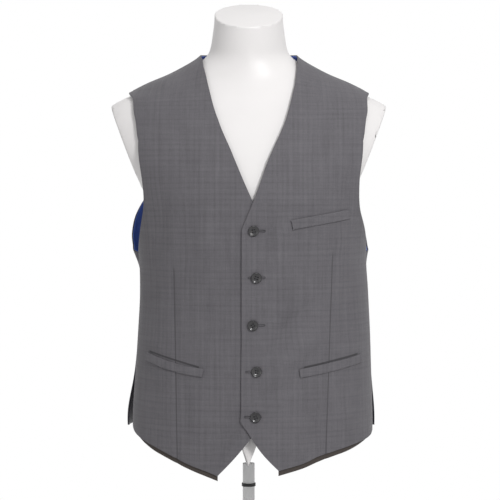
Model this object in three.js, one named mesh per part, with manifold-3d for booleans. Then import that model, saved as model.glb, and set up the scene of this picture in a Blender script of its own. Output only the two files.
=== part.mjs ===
// A men's waistcoat, buttoned, on a white torso form that stands on a pole and a round plate.
// Millimetres, +Z up. The origin is the centre of the plate's underside; the front faces -Y and
// the wearer's left is +X.
import * as THREE from "three";
import { mergeVertices } from "three/addons/utils/BufferGeometryUtils.js";
import Module from "manifold-3d";

const wasm = await Module();
wasm.setup();

// ---------------------------------------------------------------- driving sizes

const PLATE = { radius: 150, thickness: 6, sides: 96 };
const POLE = { radius: 9, socketDepth: 30, sides: 32 };
const COLLAR = { radius: 10.5, height: 4.5, sides: 32 };
const FORM_BASE = 150; // height of the form's underside above the floor
const TOUCH = 0.3; // clearance between pieces that meet

const CLOTH = 2.0; // front: wool, canvas and its own lining
const BACK_CLOTH = 1.4;
const LINING = 1.0;
const LINING_GAP = 0.6; // between the back and its lining
const WELT = 1.6;
const FACING = { thickness: 1.0, hang: 7.5, taperFrom: 0.6 }; // hang: how far it shows below
const ON_CLOTH = 0.7; // under a welt, which lies flatter than the panel does
const UNDER_BUTTON = 0.95;

const BUTTON = { radius: 7.75, thickness: 3.2, rim: 1.7, dish: 1.1, sides: 16 };
const BUTTON_HOLE = { radius: 0.95, spacing: 3.4, sides: 6 };

// Seams. Angles go round the body from the front, in degrees, positive to the wearer's left.
const SIDE_SEAM = 94;
const SHOULDER_SEAM = 92;
const SHOULDER_TIP = 588; // heights above the form's underside
const NECK_POINT = 641;
const ARMHOLE_FOOT = 347;
const VENT_TOP = 140;
const BACK_HEM = 86;

// The form, as horizontal sections from its underside up. half: half of the width. front, back:
// depth on each side of the shoulder line. power: 2 is an ellipse, more is squarer.
const TORSO = [
  { height: 0, half: 138, front: 80, back: 92, power: 2.3 },
  { height: 3, half: 149, front: 90, back: 102, power: 2.3 },
  { height: 10, half: 157, front: 98, back: 111, power: 2.3 },
  { height: 26, half: 163, front: 103, back: 117, power: 2.3 },
  { height: 60, half: 166, front: 107, back: 122, power: 2.35 },
  { height: 112, half: 162, front: 104, back: 118, power: 2.35 },
  { height: 171, half: 149, front: 99, back: 104, power: 2.3 },
  { height: 231, half: 139, front: 97, back: 92, power: 2.3 },
  { height: 290, half: 141, front: 103, back: 93, power: 2.3 },
  { height: 350, half: 147, front: 113, back: 102, power: 2.35 },
  { height: 405, half: 150, front: 121, back: 110, power: 2.4 },
  { height: 435, half: 155, front: 121, back: 114, power: 2.4 },
  { height: 455, half: 170, front: 118, back: 115, power: 2.35 },
  { height: 475, half: 192, front: 113, back: 115, power: 2.3 },
  { height: 500, half: 210, front: 106, back: 113, power: 2.25 },
  { height: 528, half: 219, front: 95, back: 108, power: 2.2 },
  { height: 552, half: 218, front: 84, back: 101, power: 2.15 },
  { height: 569, half: 202, front: 76, back: 94, power: 2.1 },
  { height: 583, half: 174, front: 69, back: 88, power: 2.0 },
  { height: 595, half: 149, front: 64, back: 82, power: 1.85 },
  { height: 607, half: 120, front: 60, back: 77, power: 1.75 },
  { height: 618, half: 97, front: 58, back: 72, power: 1.7 },
  { height: 631, half: 75, front: 56.5, back: 66, power: 1.7 },
  { height: 642, half: 62, front: 56.5, back: 61, power: 1.8 },
  { height: 653, half: 57, front: 57.5, back: 57.5, power: 1.95 },
  { height: 670, half: 54, front: 59.5, back: 53.5, power: 2 },
  { height: 690, half: 51.5, front: 62, back: 50, power: 2 },
  { height: 715, half: 50.3, front: 65, back: 47, power: 2 },
  { height: 750, half: 49.5, front: 68, back: 44, power: 2 },
];
const TORSO_SIDES = 36;

// The flat ends of the form: where each cuts the middle plane, and how far it leans.
const NECK_CAP = { height: 704, lean: 20.5 };
const ARM_CAP = { half: 162, height: 456, lean: 21.4 };

// The inside of the cloth. It is a little off centre, because the waistcoat is a size too wide.
// Above the armholes the sections are as wide as the shoulders, and the panels are cut from them.
const DRAPE = [
  { height: 0, right: 171, left: 183, front: 122, back: 121 },
  { height: 55, right: 172, left: 184, front: 121, back: 122 },
  { height: 112, right: 172, left: 184, front: 120, back: 121 },
  { height: 171, right: 168, left: 182, front: 120, back: 117 },
  { height: 231, right: 164, left: 180, front: 120, back: 114 },
  { height: 290, right: 161, left: 177, front: 122, back: 114 },
  { height: 350, right: 163, left: 174, front: 125, back: 116 },
  { height: 405, right: 173, left: 182, front: 126, back: 119 },
  { height: 435, right: 184, left: 191, front: 125, back: 120.5 },
  { height: 475, right: 205, left: 208, front: 118, back: 120.5 },
  { height: 500, right: 216, left: 217, front: 110.5, back: 118 },
  { height: 530, right: 224, left: 224, front: 99, back: 112.5 },
  { height: 555, right: 222, left: 222, front: 87.5, back: 105 },
  { height: 572, right: 204, left: 204, front: 79.5, back: 98 },
  { height: 587, right: 174, left: 174, front: 72, back: 91 },
  { height: 599, right: 150, left: 150, front: 67, back: 85 },
  { height: 611, right: 121, left: 121, front: 62.8, back: 79.5 },
  { height: 622, right: 99, left: 99, front: 60.4, back: 75 },
  { height: 635, right: 77, left: 77, front: 59.2, back: 69 },
  { height: 646, right: 65, left: 65, front: 59.4, back: 64.4 },
  { height: 657, right: 60, left: 60, front: 60.6, back: 60.4 },
  { height: 670, right: 57.5, left: 57.5, front: 62, back: 57 },
];

// Folds of the fronts, each from one end (x1, z1) to the other, seen from the front. out is its
// height, below 0 for a trough, and reach its half width.
const FRONT_FOLDS = [
  { x1: 48, z1: 416, x2: 12, z2: 345, out: -3.5, reach: 13 },
  { x1: 78, z1: 274, x2: 20, z2: 192, out: -5, reach: 17 },
  { x1: 102, z1: 236, x2: 34, z2: 180, out: 3.5, reach: 15 },
  { x1: -12, z1: 120, x2: -56, z2: 48, out: -4, reach: 14 },
  { x1: 101, z1: 124, x2: 99, z2: 45, out: -4, reach: 15 },
  { x1: -128, z1: 440, x2: -130, z2: 360, out: -3, reach: 16 },
];
// Places where the back stands out from the body: angle and height of the middle. Where the back
// is sewn to the front, it starts from the side seam.
const BACK_FLARES = [
  { angle: 101, height: 368, out: 8, reach: 36, sewn: true },
  { angle: -101, height: 362, out: 13, reach: 30, sewn: true },
  { angle: 97, height: 96, out: 4, reach: 50, sewn: false },
  { angle: -97, height: 96, out: 9, reach: 55, sewn: false },
];

// ---------------------------------------------------------------- outlines of the panels
// Points are given as x and z seen from the front (or from behind, where back is true), or as an
// angle and z. Each stretch is one smooth line, and steps is its number of rows in the panel.

const CUT_STEPS = 3;
const EDGE_STEPS = 6;
const CHEST_STEPS = 6;
const SHOULDER_STEPS = 6;

const LEFT_FRONT = {
  cut: [{ x: 43, z: 38 }, { x: 18, z: 65 }, { x: -11, z: 109 }],
  edge: [{ x: -11, z: 109 }, { x: -10, z: 388 }],
  neck: [{ x: -10, z: 388 }, { x: 6, z: 427 }, { x: 29, z: 489 }, { x: 54, z: 547 }],
  collar: [{ x: 54, z: 547 }, { x: 63, z: 580 }, { x: 69.5, z: 614 }, { x: 71, z: 632 }],
  armhole: [
    { angle: 84, z: 356 },
    { angle: 76.5, z: 376 },
    { x: 161, z: 419 },
    { x: 160.5, z: 458 },
    { x: 166, z: 515 },
  ],
  cap: [{ x: 166, z: 515 }, { x: 172, z: 550 }, { x: 174, z: 575 }],
  hem: [{ x: 43, z: 38 }, { x: 80, z: 48 }, { x: 128, z: 64.5 }, { angle: 80, z: 79 }],
};

const RIGHT_FRONT = {
  cut: [{ x: -45, z: 30 }, { x: -20, z: 57 }, { x: 28, z: 115 }],
  edge: [{ x: 28, z: 115 }, { x: 28, z: 380 }],
  neck: [{ x: 28, z: 380 }, { x: 2, z: 437 }, { x: -25, z: 500 }, { x: -44, z: 545 }],
  collar: [{ x: -44, z: 545 }, { x: -56, z: 584 }, { x: -63, z: 613 }, { x: -68, z: 634 }],
  armhole: [
    { angle: -83, z: 353 },
    { angle: -72, z: 380 },
    { x: -152, z: 426 },
    { x: -154, z: 458 },
    { x: -160, z: 515 },
  ],
  cap: [{ x: -160, z: 515 }, { x: -166, z: 550 }, { x: -170, z: 575 }],
  hem: [{ x: -45, z: 30 }, { x: -85, z: 45 }, { x: -135, z: 67 }, { angle: -80, z: 85 }],
};

// One back panel, seen from behind.
const BACK = {
  armhole: [
    { angle: 101, z: 357 },
    { x: 167, z: 392 },
    { x: 152, z: 440 },
    { x: 148, z: 480 },
    { x: 150, z: 515 },
  ],
  cap: [{ x: 150, z: 515 }, { x: 158, z: 550 }, { x: 168, z: 577 }],
  nape: [{ angle: 180, z: 641 }, { angle: 140, z: 643 }],
};

// Welts: ends of the lower edge, seen from the front, and the height of the strip.
const WELTS = {
  chest_welt: { x1: 62, z1: 388, x2: 146, z2: 402.5, tall: 13.5 },
  pocket_welt_left: { x1: 74, z1: 173, x2: 165, z2: 190, tall: 12.5 },
  pocket_welt_right: { x1: -67, z1: 174, x2: -149, z2: 193.5, tall: 12 },
};

const BUTTONS = [
  { x: 7, z: 386.5 },
  { x: 11, z: 319 },
  { x: 6, z: 250 },
  { x: 11, z: 182 },
  { x: 10, z: 117 },
];

const PAINT = {
  wool: { color: 0x67666b, roughness: 0.85, metalness: 0 },
  darkBack: { color: 0x262430, roughness: 0.55, metalness: 0 },
  lining: { color: 0x3c5cb4, roughness: 0.4, metalness: 0 },
  facing: { color: 0x423a35, roughness: 0.9, metalness: 0 },
  horn: { color: 0x1c1a1e, roughness: 0.3, metalness: 0 },
  form: { color: 0xf0edec, roughness: 0.35, metalness: 0 },
  blackPlastic: { color: 0x111012, roughness: 0.5, metalness: 0 },
  whiteSteel: { color: 0xf2f2f2, roughness: 0.4, metalness: 0.1 },
};

// ---------------------------------------------------------------- surfaces

const MM_PER_DEGREE = 3; // about the width of one degree at the body's side
const degrees = (angle) => THREE.MathUtils.degToRad(angle);
const lerp = THREE.MathUtils.lerp;

// The value of one column of a table at a height, on a smooth curve through all its rows.
function columnAt(table, column, height) {
  let i = 0;
  while (i < table.length - 2 && height > table[i + 1].height) i += 1;
  const slope = (k) => {
    const below = table[Math.max(k - 1, 0)];
    const above = table[Math.min(k + 1, table.length - 1)];
    return (above[column] - below[column]) / (above.height - below.height);
  };
  const [a, b] = [table[i], table[i + 1]];
  const span = b.height - a.height;
  const t = THREE.MathUtils.clamp((height - a.height) / span, 0, 1);
  const [t2, t3] = [t * t, t * t * t];
  return (
    (2 * t3 - 3 * t2 + 1) * a[column] +
    (t3 - 2 * t2 + t) * span * slope(i) +
    (3 * t2 - 2 * t3) * b[column] +
    (t3 - t2) * span * slope(i + 1)
  );
}

// A point of a section in a direction: half across, depth to the front or back.
function sectionPoint(half, front, back, power, angle) {
  const [across, ahead] = [Math.sin(degrees(angle)), Math.cos(degrees(angle))];
  const depth = ahead > 0 ? front : back;
  const sum = (Math.abs(across) / half) ** power + (Math.abs(ahead) / depth) ** power;
  const reach = sum ** (-1 / power);
  return [reach * across, -reach * ahead];
}

// The drape's section on one side at a height: half width, depths and power.
function sectionAt(height, side) {
  const half = columnAt(DRAPE, side < 0 ? "right" : "left", height);
  const [front, back] = [columnAt(DRAPE, "front", height), columnAt(DRAPE, "back", height)];
  return [half, front, back, columnAt(TORSO, "power", height)];
}

// The direction of a point given by x and z, on the front or the back of the drape.
function angleOf({ x, z, angle, back }) {
  if (angle !== undefined) return angle;
  const [half, ahead, behind, power] = sectionAt(z, x);
  const share = Math.min(Math.abs(x) / half, 1);
  const depth = (back ? behind : ahead) * (1 - share ** power) ** (1 / power);
  const turned = THREE.MathUtils.radToDeg(Math.atan2(Math.abs(x), back ? -depth : depth));
  return Math.sign(x) * turned;
}

// How far one fold moves a point, tapering to nothing at its ends.
function foldOut({ x1, z1, x2, z2, out, reach }, x, z) {
  const [dx, dz] = [x2 - x1, z2 - z1];
  const along = THREE.MathUtils.clamp(((x - x1) * dx + (z - z1) * dz) / (dx * dx + dz * dz), 0, 1);
  const off = Math.hypot(x - x1 - along * dx, z - z1 - along * dz) / reach;
  return out * Math.sin(Math.PI * lerp(0.15, 0.85, along)) * Math.exp(-off * off);
}

function flareOut({ angle, height, out, reach, sewn }, turned, z, behindSeam) {
  const off = Math.hypot((turned - angle) * MM_PER_DEGREE, z - height) / reach;
  const start = sewn ? THREE.MathUtils.smoothstep(behindSeam, 0, 12) : 1;
  return start * out * Math.exp(-off * off);
}

// The waistcoat's own surface, its inside, without thickness.
function drapeInside(angle, z) {
  const turned = ((((angle + 180) % 360) + 360) % 360) - 180;
  const [x, y] = sectionPoint(...sectionAt(z, turned), turned);
  const away = Math.hypot(x, y);
  const behindSeam = degrees(Math.abs(turned) - SIDE_SEAM) * away;
  let out = 0;
  if (y < 0) for (const fold of FRONT_FOLDS) out += foldOut(fold, x, z);
  if (behindSeam > 0) for (const flare of BACK_FLARES) out += flareOut(flare, turned, z, behindSeam);
  return new THREE.Vector3(x * (1 + out / away), y * (1 + out / away), z);
}

// A point that lies out millimetres outside the drape's inside surface.
function drapePoint(angle, z, out) {
  const [turn, rise] = [1.2, 2.5]; // the steps that the surface's direction is measured over
  const round = drapeInside(angle + turn, z).sub(drapeInside(angle - turn, z));
  const up = drapeInside(angle, z + rise).sub(drapeInside(angle, z - rise));
  return drapeInside(angle, z).add(round.cross(up).normalize().multiplyScalar(out));
}

// ---------------------------------------------------------------- solids

function geometryOf(points, faces) {
  const geometry = new THREE.BufferGeometry();
  const flat = points.flatMap((p) => [p.x, p.y, p.z]);
  geometry.setAttribute("position", new THREE.Float32BufferAttribute(flat, 3));
  geometry.setIndex(faces.flat());
  return geometry;
}

function solidFrom(geometry) {
  const bare = geometry.clone();
  bare.deleteAttribute("normal");
  bare.deleteAttribute("uv");
  const merged = mergeVertices(bare, 1e-4);
  return new wasm.Manifold(
    new wasm.Mesh({
      numProp: 3,
      vertProperties: merged.attributes.position.array,
      triVerts: new Uint32Array(merged.index.array),
    }),
  );
}

function geometryFrom(solid) {
  const mesh = solid.getMesh();
  const geometry = new THREE.BufferGeometry();
  const position = new THREE.Float32BufferAttribute(mesh.vertProperties, mesh.numProp);
  geometry.setAttribute("position", position);
  geometry.setIndex(new THREE.BufferAttribute(mesh.triVerts, 1));
  return geometry;
}

function meshNamed(name, geometry, paint) {
  geometry.computeVertexNormals();
  const mesh = new THREE.Mesh(geometry, new THREE.MeshStandardMaterial(paint));
  mesh.name = name;
  return mesh;
}

// A wall between two grids of points of the same size. The second grid is the outer one.
function wallGeometry(inside, outside) {
  const [rows, columns] = [inside.length, inside[0].length];
  const points = [...inside.flat(), ...outside.flat()];
  const at = (layer, row, column) => (layer * rows + row) * columns + column;
  const faces = [];
  const quad = (a, b, c, d) => faces.push([a, b, c], [a, c, d]);
  for (let r = 0; r < rows - 1; r += 1) {
    for (let c = 0; c < columns - 1; c += 1) {
      quad(at(0, r, c), at(0, r + 1, c), at(0, r + 1, c + 1), at(0, r, c + 1));
      quad(at(1, r, c), at(1, r, c + 1), at(1, r + 1, c + 1), at(1, r + 1, c));
    }
  }
  for (let c = 0; c < columns - 1; c += 1) {
    quad(at(0, 0, c), at(0, 0, c + 1), at(1, 0, c + 1), at(1, 0, c));
    quad(at(0, rows - 1, c + 1), at(0, rows - 1, c), at(1, rows - 1, c), at(1, rows - 1, c + 1));
  }
  for (let r = 0; r < rows - 1; r += 1) {
    quad(at(0, r + 1, 0), at(0, r, 0), at(1, r, 0), at(1, r + 1, 0));
    quad(at(0, r, columns - 1), at(0, r + 1, columns - 1), at(1, r + 1, columns - 1), at(1, r, columns - 1));
  }
  return geometryOf(points, faces);
}

// ---------------------------------------------------------------- the form and its stand

// A solid far larger than the form, whose lower face passes through the origin.
function cutter() {
  const size = 600;
  return new THREE.BoxGeometry(size, size, size).translate(0, 0, size / 2);
}

function torsoGeometry() {
  const heights = TORSO.map((row) => row.height);
  const rings = heights.map((height) =>
    Array.from({ length: TORSO_SIDES }, (_, i) => {
      const [half, front, back, power] = ["half", "front", "back", "power"].map((column) =>
        columnAt(TORSO, column, height),
      );
      const turn = (2 * Math.PI * i) / TORSO_SIDES;
      const depth = Math.cos(turn) > 0 ? front : back;
      const angle = THREE.MathUtils.radToDeg(
        Math.atan2(half * Math.sin(turn), depth * Math.cos(turn)),
      );
      const [x, y] = sectionPoint(half, front, back, power, angle);
      return new THREE.Vector3(x, y, height);
    }),
  );
  const points = rings.flat();
  const foot = points.push(new THREE.Vector3(0, 0, heights[0])) - 1;
  const crown = points.push(new THREE.Vector3(0, 0, heights[heights.length - 1])) - 1;
  const faces = [];
  const last = (rings.length - 1) * TORSO_SIDES;
  for (let i = 0; i < TORSO_SIDES; i += 1) {
    const next = (i + 1) % TORSO_SIDES;
    faces.push([foot, next, i], [crown, last + i, last + next]);
    for (let ring = 0; ring < rings.length - 1; ring += 1) {
      const [low, high] = [ring * TORSO_SIDES, (ring + 1) * TORSO_SIDES];
      faces.push([low + i, low + next, high + next], [low + i, high + next, high + i]);
    }
  }
  let solid = solidFrom(geometryOf(points, faces));
  const neckCut = cutter()
    .rotateX(degrees(NECK_CAP.lean))
    .translate(0, 0, NECK_CAP.height);
  solid = solid.subtract(solidFrom(neckCut));
  for (const side of [-1, 1]) {
    const armCut = cutter()
      .rotateY(side * degrees(90 + ARM_CAP.lean))
      .translate(side * ARM_CAP.half, 0, ARM_CAP.height);
    solid = solid.subtract(solidFrom(armCut));
  }
  const socket = new THREE.CylinderGeometry(
    POLE.radius + TOUCH,
    POLE.radius + TOUCH,
    2 * POLE.socketDepth,
    POLE.sides,
  ).rotateX(Math.PI / 2);
  return geometryFrom(solid.subtract(solidFrom(socket)));
}

function upright({ radius, sides }, height) {
  return new THREE.CylinderGeometry(radius, radius, height, sides).rotateX(Math.PI / 2);
}

function buildStand() {
  const stand = new THREE.Group();
  const plate = meshNamed("stand_plate", upright(PLATE, PLATE.thickness), PAINT.whiteSteel);
  plate.position.z = PLATE.thickness / 2;
  const poleFoot = PLATE.thickness + TOUCH;
  const poleTop = FORM_BASE + POLE.socketDepth - TOUCH;
  const pole = meshNamed("stand_pole", upright(POLE, poleTop - poleFoot), PAINT.whiteSteel);
  pole.position.z = (poleFoot + poleTop) / 2;
  const profile = [
    [POLE.radius + TOUCH, 0],
    [COLLAR.radius, 0],
    [COLLAR.radius, COLLAR.height],
    [POLE.radius + TOUCH, COLLAR.height],
    [POLE.radius + TOUCH, 0],
  ].map(([radius, height]) => new THREE.Vector2(radius, height));
  const ring = new THREE.LatheGeometry(profile, COLLAR.sides).rotateX(Math.PI / 2);
  const collar = meshNamed("stand_collar", ring, PAINT.blackPlastic);
  collar.position.z = FORM_BASE - COLLAR.height - TOUCH;
  stand.add(plate, pole, collar);
  return stand;
}

// ---------------------------------------------------------------- the cloth panels

// Points along a line of stretches, as {angle, z}, evenly spaced within each stretch.
function edgeLine(stretches) {
  const line = [];
  for (const { steps, points } of stretches) {
    const knots = points.map((p) => new THREE.Vector3(angleOf(p) * MM_PER_DEGREE, p.z, 0));
    const curve = new THREE.CatmullRomCurve3(knots, false, "centripetal");
    const spaced = curve.getSpacedPoints(steps);
    for (const p of line.length ? spaced.slice(1) : spaced) {
      line.push({ angle: p.x / MM_PER_DEGREE, z: p.y });
    }
  }
  return line;
}

// Rows of {angle, z} between a panel's four edges. Each row runs straight between the inner and
// outer edges; the hem's shape fades out upwards, and the top's shape soon fades out downwards.
function panelGrid({ hem, top, inner, outer }) {
  const [rows, columns] = [inner.length - 1, hem.length - 1];
  const offLine = (line, key, u, column) => line[column][key] - lerp(line[0][key], line.at(-1)[key], u);
  const mix = (key, row, column) => {
    const [v, u] = [row / rows, column / columns];
    return (
      lerp(inner[row][key], outer[row][key], u) +
      (1 - v) * offLine(hem, key, u, column) +
      v ** 4 * offLine(top, key, u, column)
    );
  };
  return inner.map((_, row) =>
    hem.map((__, column) => ({ angle: mix("angle", row, column), z: mix("z", row, column) })),
  );
}

const pointsOn = (grid, out) =>
  grid.map((row) => row.map(({ angle, z }) => drapePoint(angle, z, out(angle, z))));

const FRONT_COLUMNS = 12;
const NECK_COLUMNS = 3;

// A point beside a seam: the side of it that the body's front is on if gap is below 0.
function besideSeam(side, seam, z, gap) {
  const away = Math.hypot(...sectionPoint(...sectionAt(z, side), side * seam));
  return { angle: side * (seam + THREE.MathUtils.radToDeg(gap / away)), z };
}

// The free side of the vent, the side seam, the armhole and the shoulder's outer end.
function outerEdge({ armhole, cap }, side, gap, foot) {
  const vent = besideSeam(side, SIDE_SEAM, VENT_TOP, gap);
  const rise = { angle: lerp(foot.angle, vent.angle, 0.7), z: foot.z + 12 };
  const underarm = besideSeam(side, SIDE_SEAM, ARMHOLE_FOOT, gap);
  return edgeLine([
    { steps: CUT_STEPS, points: [foot, rise, vent] },
    { steps: EDGE_STEPS, points: [vent, underarm] },
    { steps: CHEST_STEPS, points: [underarm, ...armhole] },
    { steps: SHOULDER_STEPS, points: [...cap, besideSeam(side, SHOULDER_SEAM, SHOULDER_TIP, gap)] },
  ]);
}

// The shoulder seam, from the neck outwards.
function shoulderLine(side, gap) {
  const heights = [0, 1, 2, 3, 4].map((i) => lerp(NECK_POINT, SHOULDER_TIP, i / 4));
  const points = heights.map((z) => besideSeam(side, SHOULDER_SEAM, z, gap));
  return { steps: FRONT_COLUMNS, points };
}

function frontGrid(panel, side) {
  const { cut, edge, neck, collar, hem } = panel;
  const shoulder = shoulderLine(side, -TOUCH / 2);
  return panelGrid({
    inner: edgeLine([
      { steps: CUT_STEPS, points: cut },
      { steps: EDGE_STEPS, points: edge },
      { steps: CHEST_STEPS, points: neck },
      { steps: SHOULDER_STEPS, points: [...collar, shoulder.points[0]] },
    ]),
    outer: outerEdge(panel, side, -TOUCH / 2, hem.at(-1)),
    hem: edgeLine([{ steps: FRONT_COLUMNS, points: hem }]),
    top: edgeLine([shoulder]),
  });
}

function backGrid(side) {
  const turned = (points) =>
    points.map(({ x, z, angle }) =>
      angle === undefined ? { x: side * x, z, back: true } : { angle: side * angle, z },
    );
  const nape = turned(BACK.nape);
  const centre = (z) => ({ x: (side * TOUCH) / 2, z, back: true });
  const seam = besideSeam(side, SIDE_SEAM, BACK_HEM, TOUCH / 2);
  const shoulder = shoulderLine(side, TOUCH / 2);
  const chest = BACK.cap[0].z;
  return panelGrid({
    inner: edgeLine([
      { steps: CUT_STEPS, points: [centre(BACK_HEM), centre(VENT_TOP)] },
      { steps: EDGE_STEPS, points: [centre(VENT_TOP), centre(ARMHOLE_FOOT)] },
      { steps: CHEST_STEPS, points: [centre(ARMHOLE_FOOT), centre(chest)] },
      { steps: SHOULDER_STEPS, points: [centre(chest), centre(nape[0].z)] },
    ]),
    outer: outerEdge(
      { armhole: turned(BACK.armhole), cap: turned(BACK.cap) },
      side,
      TOUCH / 2,
      seam,
    ),
    hem: edgeLine([{ steps: NECK_COLUMNS + FRONT_COLUMNS, points: [centre(BACK_HEM), seam] }]),
    top: edgeLine([
      { steps: NECK_COLUMNS, points: [centre(nape[0].z), ...nape.slice(1), shoulder.points[0]] },
      shoulder,
    ]),
  });
}

// A wall on the drape: lift is the height of its inside above the drape's inside surface.
function panelGeometry(grid, side, thickness, lift) {
  const inside = pointsOn(grid, lift);
  const outside = pointsOn(grid, (angle, z) => lift(angle, z) + thickness);
  return side > 0 ? wallGeometry(inside, outside) : wallGeometry(mirrorRows(inside), mirrorRows(outside));
}

const mirrorRows = (grid) => grid.map((row) => [...row].reverse());

// The left front passes over the right one, and lies back on the body beyond the button line.
const LAP = { lift: CLOTH + 1, flat: 36, done: 90 };

function lapLift(angle, z) {
  const { x } = drapeInside(angle, z);
  return LAP.lift * (1 - THREE.MathUtils.smoothstep(x, LAP.flat, LAP.done));
}

// The band inside a front's hem: it hangs a little below the hem, less towards the side.
function facingGeometry(grid, side, lift) {
  const below = grid[0].map(({ angle, z }, column) => {
    const share = column / (grid[0].length - 1);
    return { angle, z: z - FACING.hang * (1 - THREE.MathUtils.smoothstep(share, FACING.taperFrom, 1)) };
  });
  const inwards = (angle, z) => lift(angle, z) - TOUCH - FACING.thickness;
  return panelGeometry([below, grid[0], grid[1]], side, FACING.thickness, inwards);
}

// The point of a panel's outer face in a direction, and which way the cloth faces there.
function placeOn(panel, { x, z }) {
  const angle = angleOf({ x, z });
  const far = new THREE.Vector3(Math.sin(degrees(angle)), -Math.cos(degrees(angle)), 0);
  const ray = new THREE.Raycaster(far.clone().multiplyScalar(400).setZ(z), far.negate());
  const [hit] = ray.intersectObject(panel);
  const out = drapePoint(angle, z, 1).sub(drapePoint(angle, z, 0)).normalize();
  return { point: hit.point, out };
}

const WELT_COLUMNS = 18;
const WELT_ROWS = 2;

// A strip laid on a panel, from the lower edge up.
function weltGeometry({ x1, z1, x2, z2, tall }, panel) {
  const along = new THREE.Vector2(x2 - x1, z2 - z1);
  const up = new THREE.Vector2(-along.y, along.x).normalize().multiplyScalar(Math.sign(along.x));
  const layer = (lift) =>
    Array.from({ length: WELT_ROWS + 1 }, (_, row) =>
      Array.from({ length: WELT_COLUMNS + 1 }, (__, column) => {
        const share = column / WELT_COLUMNS;
        const rise = (tall * row) / WELT_ROWS;
        const x = lerp(x1, x2, share) + up.x * rise;
        const { point, out } = placeOn(panel, { x, z: lerp(z1, z2, share) + up.y * rise });
        return point.clone().addScaledVector(out, lift);
      }),
    );
  const [inside, outside] = [layer(ON_CLOTH), layer(ON_CLOTH + WELT)];
  return along.x > 0
    ? wallGeometry(inside, outside)
    : wallGeometry(mirrorRows(inside), mirrorRows(outside));
}

// A round button with four holes; its back is at the origin and it faces +Z.
function buttonGeometry() {
  const { radius, thickness, rim, dish, sides } = BUTTON;
  const profile = [
    [0, 0],
    [radius - 1.4, 0],
    [radius, thickness * 0.45],
    [radius - 0.5, thickness - 0.2],
    [radius - 1.1, thickness],
    [radius - rim, thickness],
    [radius - rim - 1.2, thickness - dish],
    [0, thickness - dish],
  ].map(([r, height]) => new THREE.Vector2(r, height));
  let button = solidFrom(new THREE.LatheGeometry(profile, sides).rotateX(Math.PI / 2));
  const apart = BUTTON_HOLE.spacing / 2;
  for (const [x, y] of [[-apart, -apart], [apart, -apart], [apart, apart], [-apart, apart]]) {
    const hole = upright(BUTTON_HOLE, 3 * thickness).translate(x, y, 0);
    button = button.subtract(solidFrom(hole));
  }
  return geometryFrom(button);
}

function buildButtons(panel) {
  const group = new THREE.Group();
  BUTTONS.forEach((place, i) => {
    const { point, out } = placeOn(panel, place);
    const button = meshNamed("button_" + (i + 1), buttonGeometry(), PAINT.horn);
    button.position.copy(point).addScaledVector(out, UNDER_BUTTON);
    button.quaternion.setFromUnitVectors(new THREE.Vector3(0, 0, 1), out);
    group.add(button);
  });
  return group;
}

function buildFronts() {
  const fronts = new THREE.Group();
  const flat = () => 0;
  const leftGrid = frontGrid(LEFT_FRONT, 1);
  const rightGrid = frontGrid(RIGHT_FRONT, -1);
  const left = meshNamed("front_left", panelGeometry(leftGrid, 1, CLOTH, lapLift), PAINT.wool);
  const right = meshNamed("front_right", panelGeometry(rightGrid, -1, CLOTH, flat), PAINT.wool);
  fronts.add(
    left,
    right,
    meshNamed("hem_facing_left", facingGeometry(leftGrid, 1, lapLift), PAINT.facing),
    meshNamed("hem_facing_right", facingGeometry(rightGrid, -1, flat), PAINT.facing),
    buildButtons(left),
  );
  for (const [name, welt] of Object.entries(WELTS)) {
    fronts.add(meshNamed(name, weltGeometry(welt, welt.x1 > 0 ? left : right), PAINT.wool));
  }
  return fronts;
}

function buildBack() {
  const back = new THREE.Group();
  for (const [name, side] of [["left", 1], ["right", -1]]) {
    const grid = backGrid(side);
    const shell = panelGeometry(grid, -side, BACK_CLOTH, () => LINING + LINING_GAP);
    const lining = panelGeometry(grid, -side, LINING, () => 0);
    back.add(
      meshNamed("back_" + name, shell, PAINT.darkBack),
      meshNamed("back_lining_" + name, lining, PAINT.lining),
    );
  }
  return back;
}

// ---------------------------------------------------------------- assembly

const dressed = new THREE.Group();
dressed.position.z = FORM_BASE;
dressed.add(meshNamed("form_torso", torsoGeometry(), PAINT.form), buildFronts(), buildBack());

const display = new THREE.Group();
display.add(buildStand(), dressed);
export default display;
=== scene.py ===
"""A men's waistcoat, buttoned, on a white torso form with a pole and a round plate.

The cloth is laid on one smooth surface round the form, the drape. A place on it is an angle round
the body (0 at the front, 90 at the wearer's left, in degrees) and a height above the form's
underside, in millimetres. Each panel is a grid between its cut edges, moved onto the drape, with
its folds, and given its thickness. Meshes are in metres.
"""

import math

import bmesh
import bpy
import numpy as np
from mathutils import Matrix, Vector


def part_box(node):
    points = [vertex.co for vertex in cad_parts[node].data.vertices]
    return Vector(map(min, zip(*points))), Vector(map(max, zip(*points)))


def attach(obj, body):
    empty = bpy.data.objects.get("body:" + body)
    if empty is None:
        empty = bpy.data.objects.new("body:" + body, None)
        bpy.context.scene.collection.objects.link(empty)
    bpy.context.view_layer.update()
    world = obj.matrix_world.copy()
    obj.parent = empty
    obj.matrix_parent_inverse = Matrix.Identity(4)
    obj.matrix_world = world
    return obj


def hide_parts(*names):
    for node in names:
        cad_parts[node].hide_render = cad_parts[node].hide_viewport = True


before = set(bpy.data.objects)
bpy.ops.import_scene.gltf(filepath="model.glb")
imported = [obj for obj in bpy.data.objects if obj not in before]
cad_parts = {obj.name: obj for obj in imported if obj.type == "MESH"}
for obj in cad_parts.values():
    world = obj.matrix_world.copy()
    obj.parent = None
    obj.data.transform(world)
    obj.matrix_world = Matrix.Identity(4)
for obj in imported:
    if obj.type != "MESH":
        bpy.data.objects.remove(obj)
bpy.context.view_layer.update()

MM = 0.001
FORM_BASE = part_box("form_torso")[0][2] / MM  # height of the form's underside

# ---------------------------------------------------------------- camera

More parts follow.
